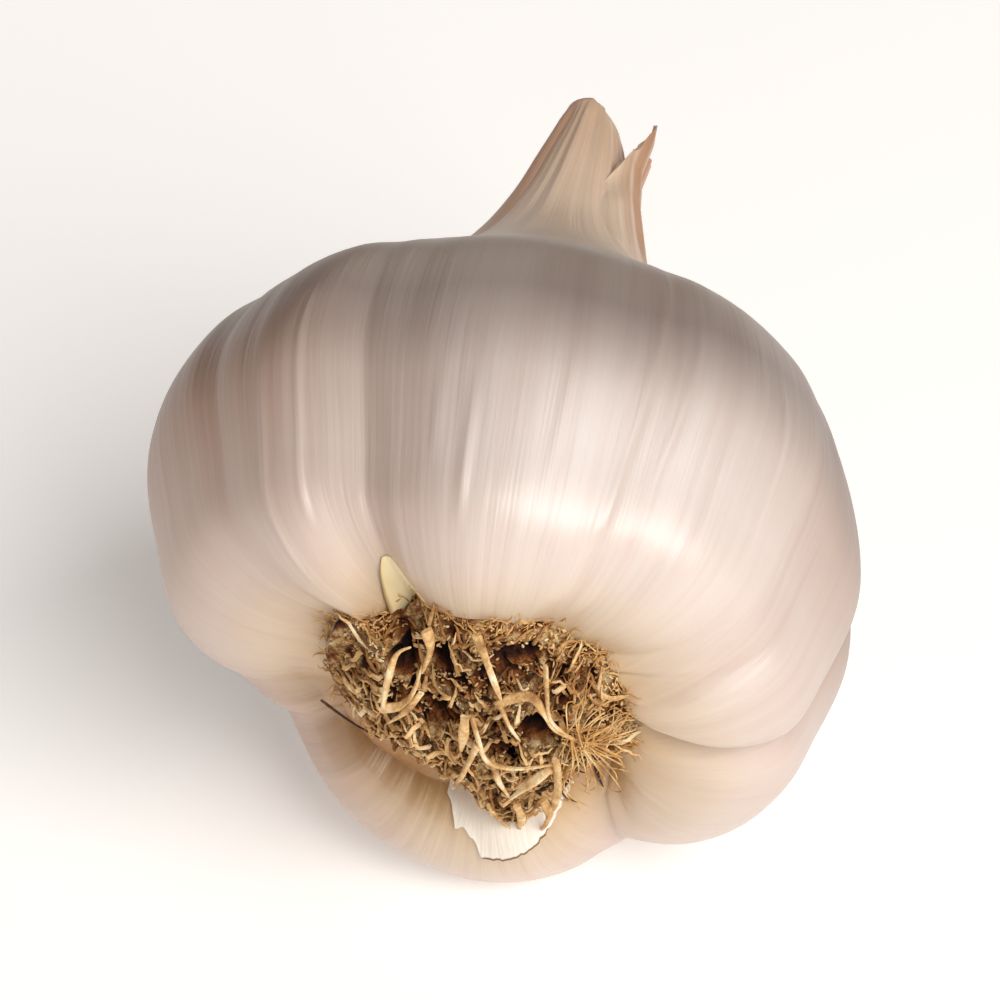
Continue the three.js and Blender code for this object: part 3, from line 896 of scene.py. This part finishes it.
# The outer edge of the scrap, as azimuth and radius, and the share up the skin by its radius.
SCRAP_EDGE = [
    (136, 10.5), (146, 12.4), (154, 14.2), (163, 15.6), (171, 16.6), (180, 17.0), (181.5, 15.2),
    (187, 14.0), (190, 14.3), (193, 12.4), (196, 11.6),
]
SHARE_BY_RADIUS = [(9.6, 0.0), (11.2, 0.067), (15.0, 0.133), (20.4, 0.2), (25.7, 0.267)]


def skin_at(azimuth, share, out):
    """A place above the skin by a little, from its azimuth and its share of the way up."""
    turn = (azimuth - CLOVES[0]["from"]) % 360 + CLOVES[0]["from"]
    starts = np.stack([crease_azimuth(np.full(share.shape, i), share) for i in range(len(CLOVES) + 1)])
    index = np.clip((turn[None] >= starts).sum(axis=0) - 1, 0, len(CLOVES) - 1)
    here = np.take_along_axis(starts, index[None], 0)[0]
    after = np.take_along_axis(starts, index[None] + 1, 0)[0]
    _, radius, height, _ = skin_place(index, (turn - here) / (after - here), share)
    slope = clove_slope(share)
    return around(azimuth, radius + out * slope[..., 1], height - out * slope[..., 0])


def scrap_place(across, up):
    azimuth = SCRAP_FROM + SCRAP_SPAN * across
    frayed = 0.12 * np.sin(azimuth * 1.9) * np.sin(azimuth * 0.37)
    radius = SCRAP_INNER + (np.interp(azimuth, *zip(*SCRAP_EDGE)) + frayed - SCRAP_INNER) * up
    share = np.interp(radius, *zip(*SHARE_BY_RADIUS))
    bulge = 0.5 * up * smoothstep(across, 0.1, 0.4) * smoothstep(1 - across, 0.1, 0.4)
    out = 0.3 + 0.2 * np.sin(across * 11 + up * 3) + bulge
    cut_side = smoothstep(azimuth, 150, 156) * (1 - smoothstep(azimuth, 178, 184))
    return skin_at(azimuth, share, out), azimuth, up * (0.9 + 0.1 * cut_side), np.zeros_like(up)


scrap = shape_grid("skin_scrap_paper", 60, 30, scrap_place)
thicken(scrap, PAPER_THICKNESS)
# White inner skin: a clean, thin garlic leaf, wrinkled along its fibres and browned where cut.
white_paper, white_output = new_material("white_inner_skin")
grain = add_node(white_paper, "ShaderNodeAttribute", {"attribute_name": "grain"})
axes = add_node(white_paper, "ShaderNodeSeparateXYZ", links={"Vector": grain.outputs["Vector"]})
edge = add_node(white_paper, "ShaderNodeValToRGB", links={"Fac": axes.outputs["Z"]})
set_stops(edge, [
    (0.0, "#c9ab7c"), (0.3, "#efe4d2"), (0.955, "#efe6da"), (0.975, "#8a6a40"), (1.0, "#5b3c20"),
])
wrinkle_place = add_node(white_paper, "ShaderNodeMapping", {"Scale": (40, 40, 2)},
                         {"Vector": grain.outputs["Vector"]})
wrinkles = add_node(white_paper, "ShaderNodeTexNoise", {"Scale": 1.0, "Detail": 3.0},
                    {"Vector": wrinkle_place.outputs["Vector"]})
bump = add_node(white_paper, "ShaderNodeBump", {"Strength": 0.3, "Distance": 0.0005},
                {"Height": wrinkles.outputs["Fac"]})
surface = add_node(white_paper, "ShaderNodeBsdfPrincipled", {"Roughness": 0.5, "IOR": 1.45},
                   {"Base Color": edge.outputs["Color"], "Normal": bump.outputs["Normal"]})
white_paper.node_tree.links.new(surface.outputs["BSDF"], white_output.inputs["Surface"])
scrap.data.materials.append(white_paper)
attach(scrap, "root")
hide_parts("skin_scrap")

# ---------------------------------------------------------------------------------------------
# Torn skin: a cream flap in the crease above the tuft, where the outer skin has split, with a thin
# brown edge.
# ---------------------------------------------------------------------------------------------
# The azimuths of its two sides at the foot and at the tip, and the radius and length it spans.
TEAR_LEFT = (-34.0, -24.0)
TEAR_RIGHT = (-12.0, -21.5)
TEAR_FOOT = 12.2
TEAR_LENGTH = 7.4


def tear_place(across, up):
    left = TEAR_LEFT[0] + (TEAR_LEFT[1] - TEAR_LEFT[0]) * up
    right = TEAR_RIGHT[0] + (TEAR_RIGHT[1] - TEAR_RIGHT[0]) * up
    azimuth = left + (right - left) * across
    share = np.interp(TEAR_FOOT + TEAR_LENGTH * up, *zip(*SHARE_BY_RADIUS))
    out = 0.2 + 0.5 * (1 - across) ** 3 * (1 - up)
    return skin_at(azimuth, share, out), azimuth, across, np.zeros_like(up)


tear = shape_grid("torn_skin_paper", 24, 40, tear_place)
thicken(tear, PAPER_THICKNESS)
# Torn cream skin: a moister inner layer, cream and faintly glossy, brown along its left edge.
cream, cream_output = new_material("torn_cream_skin")
grain = add_node(cream, "ShaderNodeAttribute", {"attribute_name": "grain"})
axes = add_node(cream, "ShaderNodeSeparateXYZ", links={"Vector": grain.outputs["Vector"]})
edge = add_node(cream, "ShaderNodeValToRGB", links={"Fac": axes.outputs["Z"]})
set_stops(edge, [(0.0, "#8a6536"), (0.08, "#e9d5a4"), (0.9, "#f4e8c8"), (1.0, "#e9d5a4")])
cream_place = add_node(cream, "ShaderNodeTexCoord")
fibres = add_node(cream, "ShaderNodeTexNoise", {"Scale": 900.0, "Detail": 2.0},
                  {"Vector": cream_place.outputs["Object"]})
bump = add_node(cream, "ShaderNodeBump", {"Strength": 0.2, "Distance": 0.0003},
                {"Height": fibres.outputs["Fac"]})
surface = add_node(cream, "ShaderNodeBsdfPrincipled", {"Roughness": 0.45, "IOR": 1.45},
                   {"Base Color": edge.outputs["Color"], "Normal": bump.outputs["Normal"]})
cream.node_tree.links.new(surface.outputs["BSDF"], cream_output.inputs["Surface"])
tear.data.materials.append(cream)
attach(tear, "root")
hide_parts("torn_skin")

# ---------------------------------------------------------------------------------------------
# Stray hairs: dark root hairs that have broken off and cling to the skin beside the tuft. Each is
# given by the azimuth and radius of three points along it.
# ---------------------------------------------------------------------------------------------
STRAY_HAIRS = [
    [(-98, 13.9), (-112, 12.2), (-128, 11.1)],
    [(-147, 8.4), (-155, 8.7), (-163, 9.2)],
    [(-84, 12.4), (-80, 11.9), (-77, 11.4)],
    [(120, 10.5), (131, 12.6), (136, 14.4)],
    [(136, 10.4), (144, 11.5), (143, 13.2)],
]
stray_paths = []
for hair in STRAY_HAIRS:
    azimuths, radii = np.array(hair, dtype=float).T
    heights = skin_height(azimuths, radii).min() - 0.35 + np.array([0.0, -0.1, 0.0])
    turns = np.radians(azimuths)
    ends = np.stack([radii * np.sin(turns), -radii * np.cos(turns), heights], axis=-1)
    stray_paths.append(smooth_path([Vector(end) for end in ends], 5))
hairs = lay_strands("stray_hairs", stray_paths, 0.3, 0.22, 1)
hairs.data.materials.append(root_materials["dark"])
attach(hairs, "root")
